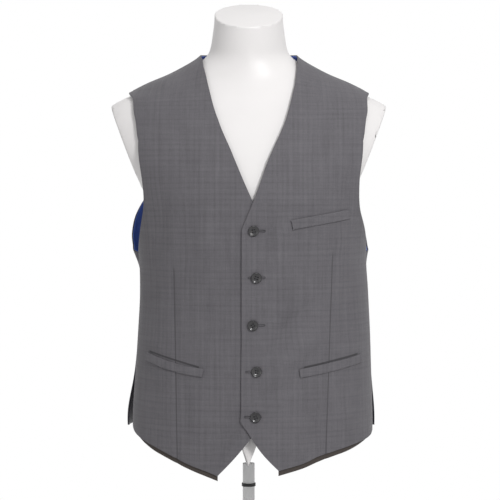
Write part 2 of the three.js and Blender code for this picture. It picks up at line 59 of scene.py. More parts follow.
VIEW_DISTANCE = 3.0
VIEW_HEIGHT = (FORM_BASE + 519.4) * MM
VIEW_PITCH = math.radians(3.2)
VIEW_SIDE = 1.95 * MM
VIEW_WIDTH = 0.750  # what the frame takes in, at the middle of the object

camera = bpy.data.objects.new("camera", bpy.data.cameras.new("camera"))
bpy.context.scene.collection.objects.link(camera)
camera.location = (VIEW_SIDE, -VIEW_DISTANCE, VIEW_HEIGHT)
camera.rotation_euler = (math.pi / 2 - VIEW_PITCH, 0, 0)
camera.data.angle = 2 * math.atan(VIEW_WIDTH / 2 / (VIEW_DISTANCE / math.cos(VIEW_PITCH)))
bpy.context.scene.camera = camera
bpy.context.scene.view_settings.view_transform = "Standard"

# ---------------------------------------------------------------- sizes, in millimetres

CLOTH = 2.0
BACK_CLOTH = 1.4
LINING = 1.0
BACK_LIFT = LINING + 0.6
WELT = 1.5
FACING = 1.0
LAP_LIFT = CLOTH + 1.0
BUTTON_RADIUS = 7.75
BUTTON_THICKNESS = 3.2

SIDE_SEAM = 94
SHOULDER_SEAM = 92
SHOULDER_TIP = 588
NECK_POINT = 641
ARMHOLE_FOOT = 347
VENT_TOP = 140
BACK_HEM = 86
SEAM_GAP = 0.15
MM_PER_DEGREE = 3.0

# Horizontal sections of the form from its underside up: half width, depths before and behind the
# shoulder line, and power, where 2 is an ellipse and more is squarer.
FORM_COLUMNS = ("height", "half", "front", "back", "power")
FORM_SECTIONS = [
    (0, 138, 80, 92, 2.3),
    (3, 149, 90, 102, 2.3),
    (10, 157, 98, 111, 2.3),
    (26, 163, 103, 117, 2.3),
    (60, 166, 107, 122, 2.35),
    (112, 162, 104, 118, 2.35),
    (171, 149, 99, 104, 2.3),
    (231, 139, 97, 92, 2.3),
    (290, 141, 103, 93, 2.3),
    (350, 147, 113, 102, 2.35),
    (405, 150, 121, 110, 2.4),
    (435, 155, 121, 114, 2.4),
    (455, 170, 118, 115, 2.35),
    (475, 192, 113, 115, 2.3),
    (500, 210, 106, 113, 2.25),
    (528, 219, 95, 108, 2.2),
    (552, 218, 84, 101, 2.15),
    (569, 202, 76, 94, 2.1),
    (583, 174, 69, 88, 2.0),
    (595, 149, 64, 82, 1.85),
    (607, 120, 60, 77, 1.75),
    (618, 97, 58, 72, 1.7),
    (631, 75, 56.5, 66, 1.7),
    (642, 62, 56.5, 61, 1.8),
    (653, 57, 57.5, 57.5, 1.95),
    (670, 54, 59.5, 53.5, 2),
    (690, 51.5, 62, 50, 2),
    (715, 50.3, 65, 47, 2),
    (750, 49.5, 68, 44, 2),
]
NECK_CAP_HEIGHT = 704
NECK_CAP_LEAN = 20.5
ARM_CAP_HALF = 162
ARM_CAP_HEIGHT = 456
ARM_CAP_LEAN = 21.4
FORM_ROUND = 128  # faces round the form
FORM_RINGS = ((0, 30, 11), (30, 560, 53), (560, 750, 45))  # from, to, rings
FORM_RIM = 2.2
FORM_SHARP = math.radians(38)

# The inside of the cloth, which is a little off centre.
DRAPE_COLUMNS = ("height", "right", "left", "front", "back")
DRAPE_SECTIONS = [
    (0, 171, 183, 122, 121),
    (55, 172, 184, 121, 122),
    (112, 172, 184, 120, 121),
    (171, 168, 182, 120, 117),
    (231, 164, 180, 120, 114),
    (290, 161, 177, 122, 114),
    (350, 163, 174, 125, 116),
    (405, 173, 182, 126, 119),
    (435, 184, 191, 125, 120.5),
    (475, 205, 208, 118, 120.5),
    (500, 216, 217, 110.5, 118),
    (530, 224, 224, 99, 112.5),
    (555, 222, 222, 87.5, 105),
    (572, 204, 204, 79.5, 98),
    (587, 174, 174, 72, 91),
    (599, 150, 150, 67, 85),
    (611, 121, 121, 62.8, 79.5),
    (622, 99, 99, 60.4, 75),
    (635, 77, 77, 59.2, 69),
    (646, 65, 65, 59.4, 64.4),
    (657, 60, 60, 60.6, 60.4),
    (670, 57.5, 57.5, 62, 57),
]

# Folds of the fronts, from one end to the other as seen from the front: x1, z1, x2, z2, how far
# out (below 0 for a trough) and half its width. The first six are the solids' own.
FRONT_FOLDS = [
    (48, 416, 12, 345, -3.5, 13),
    (78, 274, 20, 192, -5, 17),
    (102, 236, 34, 180, 3.5, 15),
    (-12, 120, -56, 48, -4, 14),
    (101, 124, 99, 45, -4, 15),
    (-128, 440, -130, 360, -3, 16),
    (60, 400, 22, 352, 1.6, 9),
    (40, 372, 14, 330, -1.2, 7),
    (120, 372, 126, 338, -1.3, 7),
    (132, 385, 128, 352, 1.2, 8),
    (92, 300, 58, 262, 1.4, 11),
    (62, 262, 22, 232, -1.3, 9),
    (74, 163, 8, 143, -1.8, 11),
    (66, 148, 12, 128, 1.4, 11),
    (150, 320, 138, 240, -2.0, 16),
    (158, 236, 142, 204, 1.4, 10),
    (76, 96, 72, 56, 1.3, 12),
    (132, 130, 138, 72, 1.4, 14),
    (146, 470, 136, 412, -1.8, 11),
    (104, 540, 86, 452, -1.3, 15),
    (-104, 538, -84, 452, -1.4, 15),
    (-86, 410, -96, 322, -1.8, 15),
    (-56, 402, -58, 300, 1.4, 16),
    (-36, 372, -24, 318, -1.1, 9),
    (-140, 330, -146, 240, -1.8, 14),
    (-30, 296, -62, 232, -1.4, 13),
    (-18, 230, -48, 172, 1.3, 12),
    (-150, 224, -110, 206, 1.3, 8),
    (-138, 176, -134, 92, -1.6, 14),
    (-90, 166, -94, 76, -1.3, 13),
    (-66, 150, -76, 60, 1.3, 14),
    (-2, 104, -40, 40, 1.4, 9),
]

FOLD_STRENGTH = 1.3

# Folds of the back and the sides: angle and height of both ends, how far out, half its width.
# Angles over 180 are the wearer's right.
BACK_FOLDS = [
    (122, 430, 128, 340, -2.4, 18),
    (238, 436, 230, 344, -2.2, 16),
    (150, 330, 108, 272, -2.6, 15),
    (214, 322, 250, 262, -2.8, 17),
    (150, 292, 112, 236, 1.7, 13),
    (208, 282, 244, 226, 1.9, 14),
    (158, 262, 120, 214, -1.8, 13),
    (206, 250, 240, 206, -1.6, 12),
    (142, 196, 136, 108, -2.2, 18),
    (164, 206, 166, 100, 1.4, 15),
    (196, 196, 200, 104, -1.5, 16),
    (224, 200, 226, 110, -2.3, 17),
    (112, 200, 116, 104, 1.6, 16),
    (248, 196, 244, 108, 1.5, 15),
    (150, 566, 166, 500, -1.4, 16),
    (208, 560, 194, 496, -1.6, 15),
    (138, 520, 142, 450, 1.2, 14),
    (222, 522, 216, 446, 1.3, 14),
]

# Where the back stands out from the body: angle, height, how far out, reach, and whether it is
# sewn to the front there.
BACK_FLARES = [
    (101, 368, 8, 36, True),
    (-101, 362, 13, 30, True),
    (97, 96, 4, 50, False),
    (-97, 96, 9, 55, False),
]

# Darts of the fronts, as seen from the front: x and height of the upper end and of the hem.
DARTS = {"left": (122, 358, 112, 48), "right": (-108.5, 337, -104, 50)}
DART_DEPTH = -0.9
DART_REACH = 3.2

# ---------------------------------------------------------------- the drape


def table(columns, rows):
    return dict(zip(columns, np.array(rows, float).T))


FORM = table(FORM_COLUMNS, FORM_SECTIONS)
DRAPE = table(DRAPE_COLUMNS, DRAPE_SECTIONS)


def column_at(sections, name, height):
    """A column of a table at some heights, on a smooth curve through all its rows."""
    z, values = sections["height"], sections[name]
    slopes = np.empty_like(values)
    slopes[1:-1] = (values[2:] - values[:-2]) / (z[2:] - z[:-2])
    slopes[0] = (values[1] - values[0]) / (z[1] - z[0])
    slopes[-1] = (values[-1] - values[-2]) / (z[-1] - z[-2])
    i = np.clip(np.searchsorted(z, height, side="right") - 1, 0, len(z) - 2)
    span = z[i + 1] - z[i]
    t = np.clip((height - z[i]) / span, 0, 1)
    return (
        (2 * t**3 - 3 * t**2 + 1) * values[i]
        + (t**3 - 2 * t**2 + t) * span * slopes[i]
        + (3 * t**2 - 2 * t**3) * values[i + 1]
        + (t**3 - t**2) * span * slopes[i + 1]
    )


def smoothstep(value, low, high):
    t = np.clip((value - low) / (high - low), 0, 1)
    return t * t * (3 - 2 * t)


def section_point(half, front, back, power, angle):
    across, ahead = np.sin(np.radians(angle)), np.cos(np.radians(angle))
    depth = np.where(ahead > 0, front, back)
    total = (np.abs(across) / half) ** power + (np.abs(ahead) / depth) ** power
    reach = total ** (-1 / power)
    return reach * across, -reach * ahead


def section_at(height, side):
    right, left = column_at(DRAPE, "right", height), column_at(DRAPE, "left", height)
    half = np.where(np.asarray(side) < 0, right, left)
    front, back = column_at(DRAPE, "front", height), column_at(DRAPE, "back", height)
    return half, front, back, column_at(FORM, "power", height)


def angle_of(x, z, behind=False):
    """The direction of a point of the drape, from its x as seen from the front or from behind."""
    half, front, back, power = section_at(z, x)
    share = min(abs(x) / half, 1)
    depth = (back if behind else front) * (1 - share**power) ** (1 / power)
    return math.copysign(math.degrees(math.atan2(abs(x), -depth if behind else depth)), x)


def fold_out(place, ends, out, reach):
    """How far one fold moves the cloth, tapering to nothing at its ends."""
    (a, b), (a1, b1, a2, b2) = place, ends
    da, db = a2 - a1, b2 - b1
    along = np.clip(((a - a1) * da + (b - b1) * db) / (da * da + db * db), 0, 1)
    off = np.hypot(a - a1 - along * da, b - b1 - along * db) / reach
    profile = np.exp(-off * off) * (1 - 0.35 * off * off)
    return out * np.sin(np.pi * (0.12 + 0.76 * along)) * profile


def dart_out(x, z):
    total = np.zeros_like(x)
    for x1, z1, x2, z2 in DARTS.values():
        off = (x - (x1 + (x2 - x1) * (z - z1) / (z2 - z1))) / DART_REACH
        total += DART_DEPTH * np.exp(-off * off) * smoothstep(z1 - z, -4, 30)
    return total


def drape_inside(angle, z):
    turned = (angle + 180) % 360 - 180
    x, y = section_point(*section_at(z, turned), turned)
    away = np.hypot(x, y)
    out = np.zeros_like(x)
    front = np.zeros_like(x) + dart_out(x, z)
    for *ends, height, reach in FRONT_FOLDS:
        front += fold_out((x, z), ends, FOLD_STRENGTH * height, reach)
    out += np.where(y < 0, front * smoothstep(-y, 0, 30), 0)
    back = np.zeros_like(x)
    round_back = (turned % 360) * MM_PER_DEGREE
    for a1, z1, a2, z2, height, reach in BACK_FOLDS:
        ends = (a1 * MM_PER_DEGREE, z1, a2 * MM_PER_DEGREE, z2)
        back += fold_out((round_back, z), ends, height, reach)
    behind = np.radians(np.abs(turned) - SIDE_SEAM) * away
    back *= smoothstep(behind, 0, 20)
    for a, height, out_by, reach, sewn in BACK_FLARES:
        off = np.hypot((turned - a) * MM_PER_DEGREE, z - height) / reach
        start = smoothstep(behind, 0, 12) if sewn else 1
        back += start * out_by * np.exp(-off * off)
    out += np.where(behind > 0, back, 0)
    return np.stack([x * (1 + out / away), y * (1 + out / away), z], axis=-1)


def drape_normal(angle, z):
    turn, rise = 0.8, 1.6
    around = drape_inside(angle + turn, z) - drape_inside(angle - turn, z)
    up = drape_inside(angle, z + rise) - drape_inside(angle, z - rise)
    normal = np.cross(around, up)
    return normal / np.linalg.norm(normal, axis=-1, keepdims=True)


def drape_point(angle, z, out):
    angle, z = np.asarray(angle, float), np.asarray(z, float)
    lift = np.broadcast_to(out, z.shape)[..., None]
    return drape_inside(angle, z) + drape_normal(angle, z) * lift


def lap_lift(angle, z):
    """The left front passes over the right one and lies back on the body further out."""
    x = drape_inside(angle, z)[..., 0]
    return LAP_LIFT * (1 - smoothstep(x, 36, 90))


# Distances over the cloth from the middle of the front and from the form's underside, which the
# weave follows.
RULER_ANGLES = np.arange(-184, 185, 2.0)
RULER_HEIGHTS = np.arange(0, 681, 5.0)


def measure_drape():
    angle, z = np.meshgrid(RULER_ANGLES, RULER_HEIGHTS)
    x, y = section_point(*section_at(z, angle), angle)
    points = np.stack([x, y, z], axis=-1)
    across = np.cumsum(np.linalg.norm(np.diff(points, axis=1, prepend=points[:, :1]), axis=-1), 1)
    middle = np.argmin(np.abs(RULER_ANGLES))
    across -= across[:, middle : middle + 1]
    along = np.cumsum(np.linalg.norm(np.diff(points, axis=0, prepend=points[:1]), axis=-1), 0)
    return across, along


RULER_ACROSS, RULER_ALONG = measure_drape()


def cloth_measure(angle, z):
    """Distances over the cloth, in metres, across and along."""
    column = (angle - RULER_ANGLES[0]) / (RULER_ANGLES[1] - RULER_ANGLES[0])
    row = (z - RULER_HEIGHTS[0]) / (RULER_HEIGHTS[1] - RULER_HEIGHTS[0])
    c = np.clip(column.astype(int), 0, len(RULER_ANGLES) - 2)
    r = np.clip(row.astype(int), 0, len(RULER_HEIGHTS) - 2)
    u, v = column - c, row - r

    def read(ruler):
        low = ruler[r, c] * (1 - u) + ruler[r, c + 1] * u
        high = ruler[r + 1, c] * (1 - u) + ruler[r + 1, c + 1] * u
        return (low * (1 - v) + high * v) * MM

    return np.stack([read(RULER_ACROSS), read(RULER_ALONG)], axis=-1)


# ---------------------------------------------------------------- cut edges

FINE = 7  # rows and columns of fine cloth for each one of the solids'
CUT_STEPS, EDGE_STEPS, CHEST_STEPS, SHOULDER_STEPS = (FINE * n for n in (3, 6, 6, 6))
FRONT_COLUMNS, NECK_COLUMNS = 12 * FINE, 3 * FINE


def seen(*places, behind=False):
    """Places given by x and height, as angle and height."""
    return [(angle_of(x, z, behind), z) for x, z in places]


def curve_through(points, count):
    """count + 1 places spread evenly along a smooth line through the points."""
    p = np.array(points, float) * (MM_PER_DEGREE, 1)
    p = np.vstack([2 * p[0] - p[1], p, 2 * p[-1] - p[-2]])
    line = [p[1]]
    for i in range(1, len(p) - 2):
        a, b, c, d = p[i - 1 : i + 3]
        gaps = [max(np.linalg.norm(q - r) ** 0.5, 1e-6) for q, r in ((b, a), (c, b), (d, c))]
        start = (b - a) / gaps[0] - (c - a) / (gaps[0] + gaps[1]) + (c - b) / gaps[1]
        end = (c - b) / gaps[1] - (d - b) / (gaps[1] + gaps[2]) + (d - c) / gaps[2]
        for t in np.linspace(0, 1, 61)[1:]:
            h = (2 * t**3 - 3 * t**2 + 1, 3 * t**2 - 2 * t**3, t**3 - 2 * t**2 + t, t**3 - t**2)
            line.append(h[0] * b + h[1] * c + (h[2] * start + h[3] * end) * gaps[1])
    line = np.array(line)
    length = np.concatenate([[0], np.cumsum(np.linalg.norm(np.diff(line, axis=0), axis=1))])
    even = np.linspace(0, length[-1], count + 1)
    places = np.stack([np.interp(even, length, line[:, k]) for k in (0, 1)], axis=-1)
    return places / (MM_PER_DEGREE, 1)


def edge_line(*stretches):
    parts = [curve_through(points, count) for count, points in stretches]
    return np.vstack([parts[0]] + [part[1:] for part in parts[1:]])


def panel_grid(hem, top, inner, outer):
    """Angles and heights of a grid between four edges, with rows from the hem up."""
    rows, columns = len(inner) - 1, len(hem) - 1
    v = (np.arange(rows + 1) / rows)[:, None, None]
    u = (np.arange(columns + 1) / columns)[None, :, None]

    def off_line(line):
        share = u[0]
        return (line - (line[0] * (1 - share) + line[-1] * share))[None]

    ruled = inner[:, None] * (1 - u) + outer[:, None] * u
    grid = ruled + (1 - v) * off_line(hem) + v**4 * off_line(top)
    return grid[..., 0], grid[..., 1]


def beside_seam(side, seam, z, gap):
    x, y = section_point(*section_at(z, side), side * seam)
    return side * (seam + math.degrees(gap / math.hypot(x, y))), z


def outer_edge(armhole, cap, side, gap, foot):
    vent = beside_seam(side, SIDE_SEAM, VENT_TOP, gap)
    rise = (foot[0] + 0.7 * (vent[0] - foot[0]), foot[1] + 12)
    underarm = beside_seam(side, SIDE_SEAM, ARMHOLE_FOOT, gap)
    return edge_line(
        (CUT_STEPS, [foot, rise, vent]),
        (EDGE_STEPS, [vent, underarm]),
        (CHEST_STEPS, [underarm] + armhole),
        (SHOULDER_STEPS, cap + [beside_seam(side, SHOULDER_SEAM, SHOULDER_TIP, gap)]),
    )


def shoulder_line(side, gap):
    heights = np.linspace(NECK_POINT, SHOULDER_TIP, 5)
    return FRONT_COLUMNS, [beside_seam(side, SHOULDER_SEAM, z, gap) for z in heights]


def front_grid(cut, edge, neck, collar, armhole, cap, hem, side):
    shoulder = shoulder_line(side, -SEAM_GAP)
    return panel_grid(
        hem=edge_line((FRONT_COLUMNS, hem)),
        top=edge_line(shoulder),
        inner=edge_line(
            (CUT_STEPS, cut),
            (EDGE_STEPS, edge),
            (CHEST_STEPS, neck),
            (SHOULDER_STEPS, collar + shoulder[1][:1]),
        ),
        outer=outer_edge(armhole, cap, side, -SEAM_GAP, hem[-1]),
    )


def left_front_grid():
    return front_grid(
        cut=seen((43, 38), (18, 65), (-11, 109)),
        edge=seen((-11, 109), (-10, 388)),
        neck=seen((-10, 388), (6, 427), (29, 489), (54, 547)),
        collar=seen((54, 547), (63, 580), (69.5, 614), (71, 632)),
        armhole=[(84, 356), (76.5, 376)] + seen((161, 419), (160.5, 458), (166, 515)),
        cap=seen((166, 515), (172, 550), (174, 575)),
        hem=seen((43, 38), (80, 48), (128, 64.5)) + [(80, 79)],
        side=1,
    )


def right_front_grid():
    return front_grid(
        cut=seen((-45, 30), (-20, 57), (28, 115)),
        edge=seen((28, 115), (28, 380)),
        neck=seen((28, 380), (2, 437), (-25, 500), (-44, 545)),
        collar=seen((-44, 545), (-56, 584), (-63, 613), (-68, 634)),
        armhole=[(-83, 353), (-72, 380)] + seen((-152, 426), (-154, 458), (-160, 515)),
        cap=seen((-160, 515), (-166, 550), (-170, 575)),
        hem=seen((-45, 30), (-85, 45), (-135, 67)) + [(-80, 85)],
        side=-1,
    )


def back_grid(side):
    def turned(*places):
        return seen(*[(side * x, z) for x, z in places], behind=True)

    def centre(z):
        return turned((SEAM_GAP, z))[0]

    nape, chest = 641, 515
    seam = beside_seam(side, SIDE_SEAM, BACK_HEM, SEAM_GAP)
    shoulder = shoulder_line(side, SEAM_GAP)
    heights = (BACK_HEM, VENT_TOP, ARMHOLE_FOOT, chest, nape)
    steps = (CUT_STEPS, EDGE_STEPS, CHEST_STEPS, SHOULDER_STEPS)
    return panel_grid(
        hem=edge_line((NECK_COLUMNS + FRONT_COLUMNS, [centre(BACK_HEM), seam])),
        top=edge_line((NECK_COLUMNS, [centre(nape), (side * 140, 643), shoulder[1][0]]), shoulder),
        inner=edge_line(
            *[(n, [centre(a), centre(b)]) for n, a, b in zip(steps, heights, heights[1:])]
        ),
        outer=outer_edge(
            [(side * 101, 357)] + turned((167, 392), (152, 440), (148, 480), (150, 515)),
            turned((150, 515), (158, 550), (168, 577)),
            side,
            SEAM_GAP,
            seam,
        ),
    )


# ---------------------------------------------------------------- mesh helpers


def lifted(z):
    return (z + FORM_BASE) * MM


def add_object(name, bm, smooth=True):
    mesh = bpy.data.meshes.new(name)
    bm.to_mesh(mesh)
    bm.free()
    obj = bpy.data.objects.new(name, mesh)
    bpy.context.scene.collection.objects.link(obj)
    if smooth:
        mesh.polygons.foreach_set("use_smooth", [True] * len(mesh.polygons))
    return obj


def grid_object(name, points, measure, outwards=True):
    """A sheet whose grid of vertices is moved to the points, with its cloth measure as its UV."""
    rows, columns = points.shape[:2]
    bm = bmesh.new()
    bmesh.ops.create_grid(bm, x_segments=columns - 1, y_segments=rows - 1, size=0.5)
    uv = bm.loops.layers.uv.new("cloth")
    for vert in bm.verts:
        column = round((vert.co.x + 0.5) * (columns - 1))
        row = round((vert.co.y + 0.5) * (rows - 1))
        vert.co = points[row, column] * MM
        vert.co.z += FORM_BASE * MM
        for loop in vert.link_loops:
            loop[uv].uv = measure[row, column]
    if not outwards:
        bmesh.ops.reverse_faces(bm, faces=bm.faces)
    return add_object(name, bm)


def add_wall(obj, thickness, rim=0.45):
    """Thickness outwards from the sheet, and rounded edges."""
    wall = obj.modifiers.new("thickness", "SOLIDIFY")
    wall.thickness = thickness * MM
    wall.offset = 1
    wall.use_even_offset = False
    rounded = obj.modifiers.new("rounded edges", "BEVEL")
    rounded.width = rim * MM
    rounded.segments = 2
    rounded.limit_method = "ANGLE"
    rounded.angle_limit = math.radians(60)
    return obj


def drape_sheet(name, angle, z, lift, thickness, outwards):
    points = drape_point(angle, z, lift)
    obj = grid_object(name, points, cloth_measure(angle, z), outwards)
    return add_wall(obj, thickness)


# ---------------------------------------------------------------- materials


class Shader:
    """A material's node tree, with short ways to add and join its nodes."""

    def __init__(self, tree):
        self.tree = tree

    def node(self, kind, inputs=None, **settings):
        made = self.tree.nodes.new(kind)
        for key, value in settings.items():
            setattr(made, key, value)
        for key, value in (inputs or {}).items():
            self.put(made.inputs[key], value)
        return made

    def put(self, socket, value):
        if isinstance(value, bpy.types.NodeSocket):
            self.tree.links.new(value, socket)
        else:
            socket.default_value = value

    def math(self, operation, a, b=0.0, c=0.0):
        made = self.node("ShaderNodeMath", {0: a, 1: b, 2: c}, operation=operation)
        return made.outputs[0]

    def ramp(self, value, low, high, to_low=0.0, to_high=1.0):
        kind = "SMOOTHSTEP"
        inputs = {"Value": value, "From Min": low, "From Max": high}
        inputs.update({"To Min": to_low, "To Max": to_high})
        made = self.node("ShaderNodeMapRange", inputs, interpolation_type=kind)
        return made.outputs["Result"]

    def mix(self, share, a, b, blend="MIX"):
        made = self.node("ShaderNodeMix", data_type="RGBA", blend_type=blend)
        self.put(made.inputs["Factor"], share)
        self.put(made.inputs["A"], a)
        self.put(made.inputs["B"], b)
        return made.outputs["Result"]

    def noise(self, vector, scale, detail=2.0, roughness=0.5):
        inputs = {"Vector": vector, "Scale": scale, "Detail": detail, "Roughness": roughness}
        return self.node("ShaderNodeTexNoise", inputs).outputs["Fac"]

    def stretch(self, vector, scale):
        return self.node("ShaderNodeMapping", {"Vector": vector, "Scale": scale}).outputs[0]


def new_material(name, roughness, **principled):
    material = bpy.data.materials.new(name)
    material.use_nodes = True
    shader = Shader(material.node_tree)
    surface = material.node_tree.nodes["Principled BSDF"]
    surface.inputs["Roughness"].default_value = roughness
    for key, value in principled.items():
        surface.inputs[key.replace("_", " ").title()].default_value = value
    return material, shader, surface


def weave_group():
    """Crossing threads: Across and Along are 0 to 1 over each thread, Height is for bump."""
    tree = bpy.data.node_groups.new("woven threads", "ShaderNodeTree")
    face = tree.interface
    face.new_socket("Vector", in_out="INPUT", socket_type="NodeSocketVector")
    face.new_socket("Thread Scale", in_out="INPUT", socket_type="NodeSocketFloat")
    face.new_socket("Unevenness", in_out="INPUT", socket_type="NodeSocketFloat")
    for name in ("Across", "Along", "Slub", "Height"):
        face.new_socket(name, in_out="OUTPUT", socket_type="NodeSocketFloat")
    shader = Shader(tree)
    given = shader.node("NodeGroupInput").outputs
    result = shader.node("NodeGroupOutput")
    waves = []
    for direction in ("X", "Y"):
        wave = shader.node(
            "ShaderNodeTexWave",
            {
                "Vector": given["Vector"],
                "Scale": given["Thread Scale"],
                "Distortion": given["Unevenness"],
                "Detail": 1.0,
                "Detail Scale": 0.6,
            },
            wave_type="BANDS",
            bands_direction=direction,
        )
        waves.append(wave.outputs["Fac"])
    warp = shader.noise(shader.stretch(given["Vector"], (1500, 110, 1)), 1.0, 2.0, 0.6)
    weft = shader.noise(shader.stretch(given["Vector"], (110, 1500, 1)), 1.0, 2.0, 0.6)
    slub = shader.math("MULTIPLY_ADD", shader.math("ADD", warp, weft), 0.5, 0.0)
    shader.put(result.inputs["Across"], waves[0])
    shader.put(result.inputs["Along"], waves[1])
    shader.put(result.inputs["Slub"], slub)
    threads = shader.math("MULTIPLY", waves[0], waves[1])
    height = shader.math("ADD", threads, shader.math("MULTIPLY", slub, 0.8))
    shader.put(result.inputs["Height"], height)
    return tree


WEAVE = weave_group()


def woven(shader, scale, unevenness=1.5):
    cloth = shader.node("ShaderNodeUVMap", uv_map="cloth").outputs["UV"]
    inputs = {"Vector": cloth, "Thread Scale": scale, "Unevenness": unevenness}
    group = shader.node("ShaderNodeGroup", node_tree=WEAVE)
    for key, value in inputs.items():
        shader.put(group.inputs[key], value)
    return cloth, group.outputs


def object_place(shader):
    place = shader.node("ShaderNodeTexCoord").outputs["Object"]
    return place, shader.node("ShaderNodeSeparateXYZ", {"Vector": place}).outputs


def line_mask(shader, axes, line, width, fade=12.0):
    """1 along a straight line as seen from the front, given by its upper and lower ends."""
    x1, z1, x2, z2 = line
    slope = (x2 - x1) / (z2 - z1)
    at = shader.math("MULTIPLY_ADD", axes["Z"], slope, (x1 - slope * (z1 + FORM_BASE)) * MM)
    off = shader.math("ABSOLUTE", shader.math("SUBTRACT", axes["X"], at))
    near = shader.ramp(off, width * MM, 2.2 * width * MM, 1.0, 0.0)
    below = shader.ramp(axes["Z"], lifted(z1 - fade), lifted(z1), 1.0, 0.0)
    return shader.math("MULTIPLY", near, below)


def slot_mask(shader, axes, slot, width):
    """1 along a level or sloping line as seen from the front, between its two ends."""
    x1, z1, x2, z2 = slot
    slope = (z2 - z1) / (x2 - x1)
    at = shader.math("MULTIPLY_ADD", axes["X"], slope, (z1 + FORM_BASE - slope * x1) * MM)
    off = shader.math("ABSOLUTE", shader.math("SUBTRACT", axes["Z"], at))
    near = shader.ramp(off, width * MM * 0.6, width * MM, 1.0, 0.0)
    low, high = min(x1, x2), max(x1, x2)
    left = shader.ramp(axes["X"], (low - 1) * MM, (low + 1) * MM)
    right = shader.ramp(axes["X"], (high - 1) * MM, (high + 1) * MM, 1.0, 0.0)
    return shader.math("MULTIPLY", near, shader.math("MULTIPLY", left, right))


WOOL_DARK = (0.062, 0.058, 0.066, 1)
WOOL_LIGHT = (0.192, 0.184, 0.200, 1)
# Colour of the painted shade laid into the darts' creases and the pockets' open mouths.
GAP_AND_CREASE_PAINTED_SHADE = (0.035, 0.033, 0.037, 1)
DART_LINE, DART_CREASE_PAINTED_SHADE = 0.55, 0.55  # half width in mm, and how dark the painted shade in the dart's crease is
POCKET_GAPE, POCKET_MOUTH_PAINTED_SHADOW = 1.7, 0.85  # the same for the painted shadow in a pocket's open mouth
POCKET_MOUTHS = {"left": (80, 187.5, 160, 203), "right": (-72, 188, -146, 207)}
# The right front's wool is painted a little darker than the left's, as painted shade.
RIGHT_FRONT_PAINTED_SHADE = 0.97


def wool_material(name, darts=(), slots=(), painted_shade=1.0):
    material, shader, surface = new_material(name, 0.82, sheen_weight=0.12, sheen_roughness=0.5)
    cloth, threads = woven(shader, 310.0)
    crossing = shader.math("MULTIPLY", threads["Across"], threads["Along"])
    tone = shader.math("MULTIPLY_ADD", crossing, 0.36, 0.0)
    tone = shader.math("MULTIPLY_ADD", threads["Slub"], 0.9, shader.math("SUBTRACT", tone, 0.08))
    lines = []
    for direction, scale in (("X", 42.0), ("Y", 39.0)):
        band = shader.node(
            "ShaderNodeTexWave",
            {"Vector": cloth, "Scale": scale, "Distortion": 0.6, "Detail": 1.0, "Detail Scale": 3.0},
            wave_type="BANDS",
            bands_direction=direction,
        )
        lines.append(shader.ramp(band.outputs["Fac"], 0.72, 1.0))
    check = shader.math("ADD", lines[0], lines[1])
    streak = shader.noise(shader.stretch(cloth, (190, 9, 1)), 1.0, 3.0, 0.6)
    bars = shader.noise(shader.stretch(cloth, (9, 190, 1)), 1.0, 3.0, 0.6)
    tone = shader.math("MULTIPLY_ADD", check, -0.055, tone)
    tone = shader.math("MULTIPLY_ADD", shader.math("SUBTRACT", streak, 0.5), 0.42, tone)
    tone = shader.math("MULTIPLY_ADD", shader.math("SUBTRACT", bars, 0.5), 0.34, tone)
    patches = shader.noise(cloth, 26.0, 2.0)
    tone = shader.math("MULTIPLY_ADD", shader.math("SUBTRACT", patches, 0.5), 0.16, tone)
    # A factor below 1 makes a darker copy of the wool, as painted shade.
    dark = tuple(c * painted_shade for c in WOOL_DARK[:3]) + (1,)
    light = tuple(c * painted_shade for c in WOOL_LIGHT[:3]) + (1,)
    colour = shader.mix(tone, dark, light)
    _, axes = object_place(shader)
    height = threads["Height"]
    # Each dart gets a groove in the bump and painted shade in its crease.
    for dart in darts:
        mask = line_mask(shader, axes, dart, DART_LINE)
        colour = shader.mix(shader.math("MULTIPLY", mask, DART_CREASE_PAINTED_SHADE), colour, GAP_AND_CREASE_PAINTED_SHADE)
        height = shader.math("MULTIPLY_ADD", mask, -1.2, height)
    # Each pocket's open mouth gets a painted shadow.
    for slot in slots:
        mask = slot_mask(shader, axes, slot, POCKET_GAPE)
        colour = shader.mix(shader.math("MULTIPLY", mask, POCKET_MOUTH_PAINTED_SHADOW), colour, GAP_AND_CREASE_PAINTED_SHADE)
    shader.put(surface.inputs["Base Color"], colour)
    rough = shader.ramp(threads["Slub"], 0.3, 0.7, 0.74, 0.9)
    shader.put(surface.inputs["Roughness"], rough)
    bump = {"Height": height, "Strength": 0.35, "Distance": 0.0004}
    shader.put(surface.inputs["Normal"], shader.node("ShaderNodeBump", bump).outputs[0])
    return material


def satin_material(name, dark, light, roughness, scale, sheen=0.0, lining_painted_shade=None):
    material, shader, surface = new_material(name, roughness, sheen_weight=sheen)
    cloth, threads = woven(shader, scale, 0.8)
    streak = shader.noise(shader.stretch(cloth, (260, 14, 1)), 1.0, 3.0, 0.6)
    tone = shader.math("MULTIPLY_ADD", threads["Slub"], 0.7, shader.math("SUBTRACT", streak, 0.35))
    colour = shader.mix(tone, dark, light)
    # Below the given height the colour turns to a dark painted shade.
    if lining_painted_shade:
        top, painted_shade_colour = lining_painted_shade
        _, axes = object_place(shader)
        below = shader.ramp(axes["Z"], lifted(top - 2), lifted(top), 1.0, 0.0)
        colour = shader.mix(below, colour, painted_shade_colour)
    shader.put(surface.inputs["Base Color"], colour)
    shader.put(surface.inputs["Roughness"], shader.ramp(streak, 0.3, 0.7, roughness, roughness + 0.12))
    bump = {"Height": threads["Height"], "Strength": 0.15, "Distance": 0.0002}
    shader.put(surface.inputs["Normal"], shader.node("ShaderNodeBump", bump).outputs[0])
    return material


